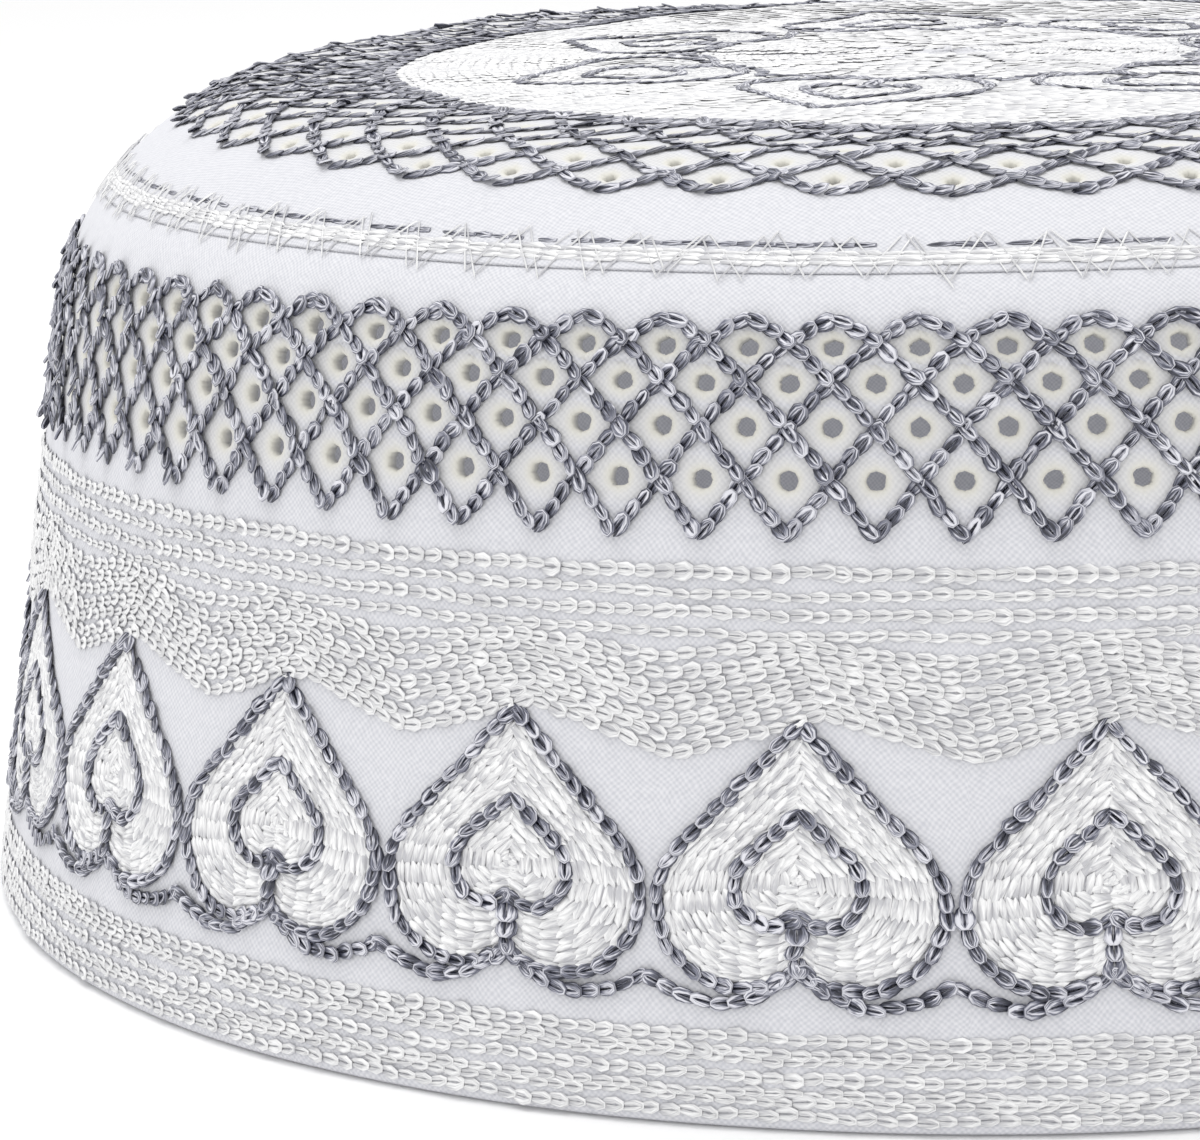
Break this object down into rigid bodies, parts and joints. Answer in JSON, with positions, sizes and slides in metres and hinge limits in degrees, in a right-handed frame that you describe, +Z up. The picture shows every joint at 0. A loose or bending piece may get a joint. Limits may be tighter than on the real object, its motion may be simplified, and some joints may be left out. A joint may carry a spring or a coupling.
{
  "type": "kufi cap",
  "caption": "Brimless round cloth cap with a tapered side band, a flat crown lapped over it, and pierced eyelet embroidery; it stands on its rim with an open head hollow.",
  "frame": {"origin": "centre of the rim's circle, on the surface that the cap stands on", "axes": "+Z up through the crown, -Y towards the side that faces the viewer, +X to the viewer's right"},
  "size_m": [0.184, 0.184, 0.0764],
  "materials": {
    "band_cloth": "white cotton with white and grey chain stitch",
    "crown_cloth": "white cotton with white and grey chain stitch"
  },
  "bodies": {
    "root": {"side_band": "band_cloth", "crown": "crown_cloth"}
  },
  "joints": []
}
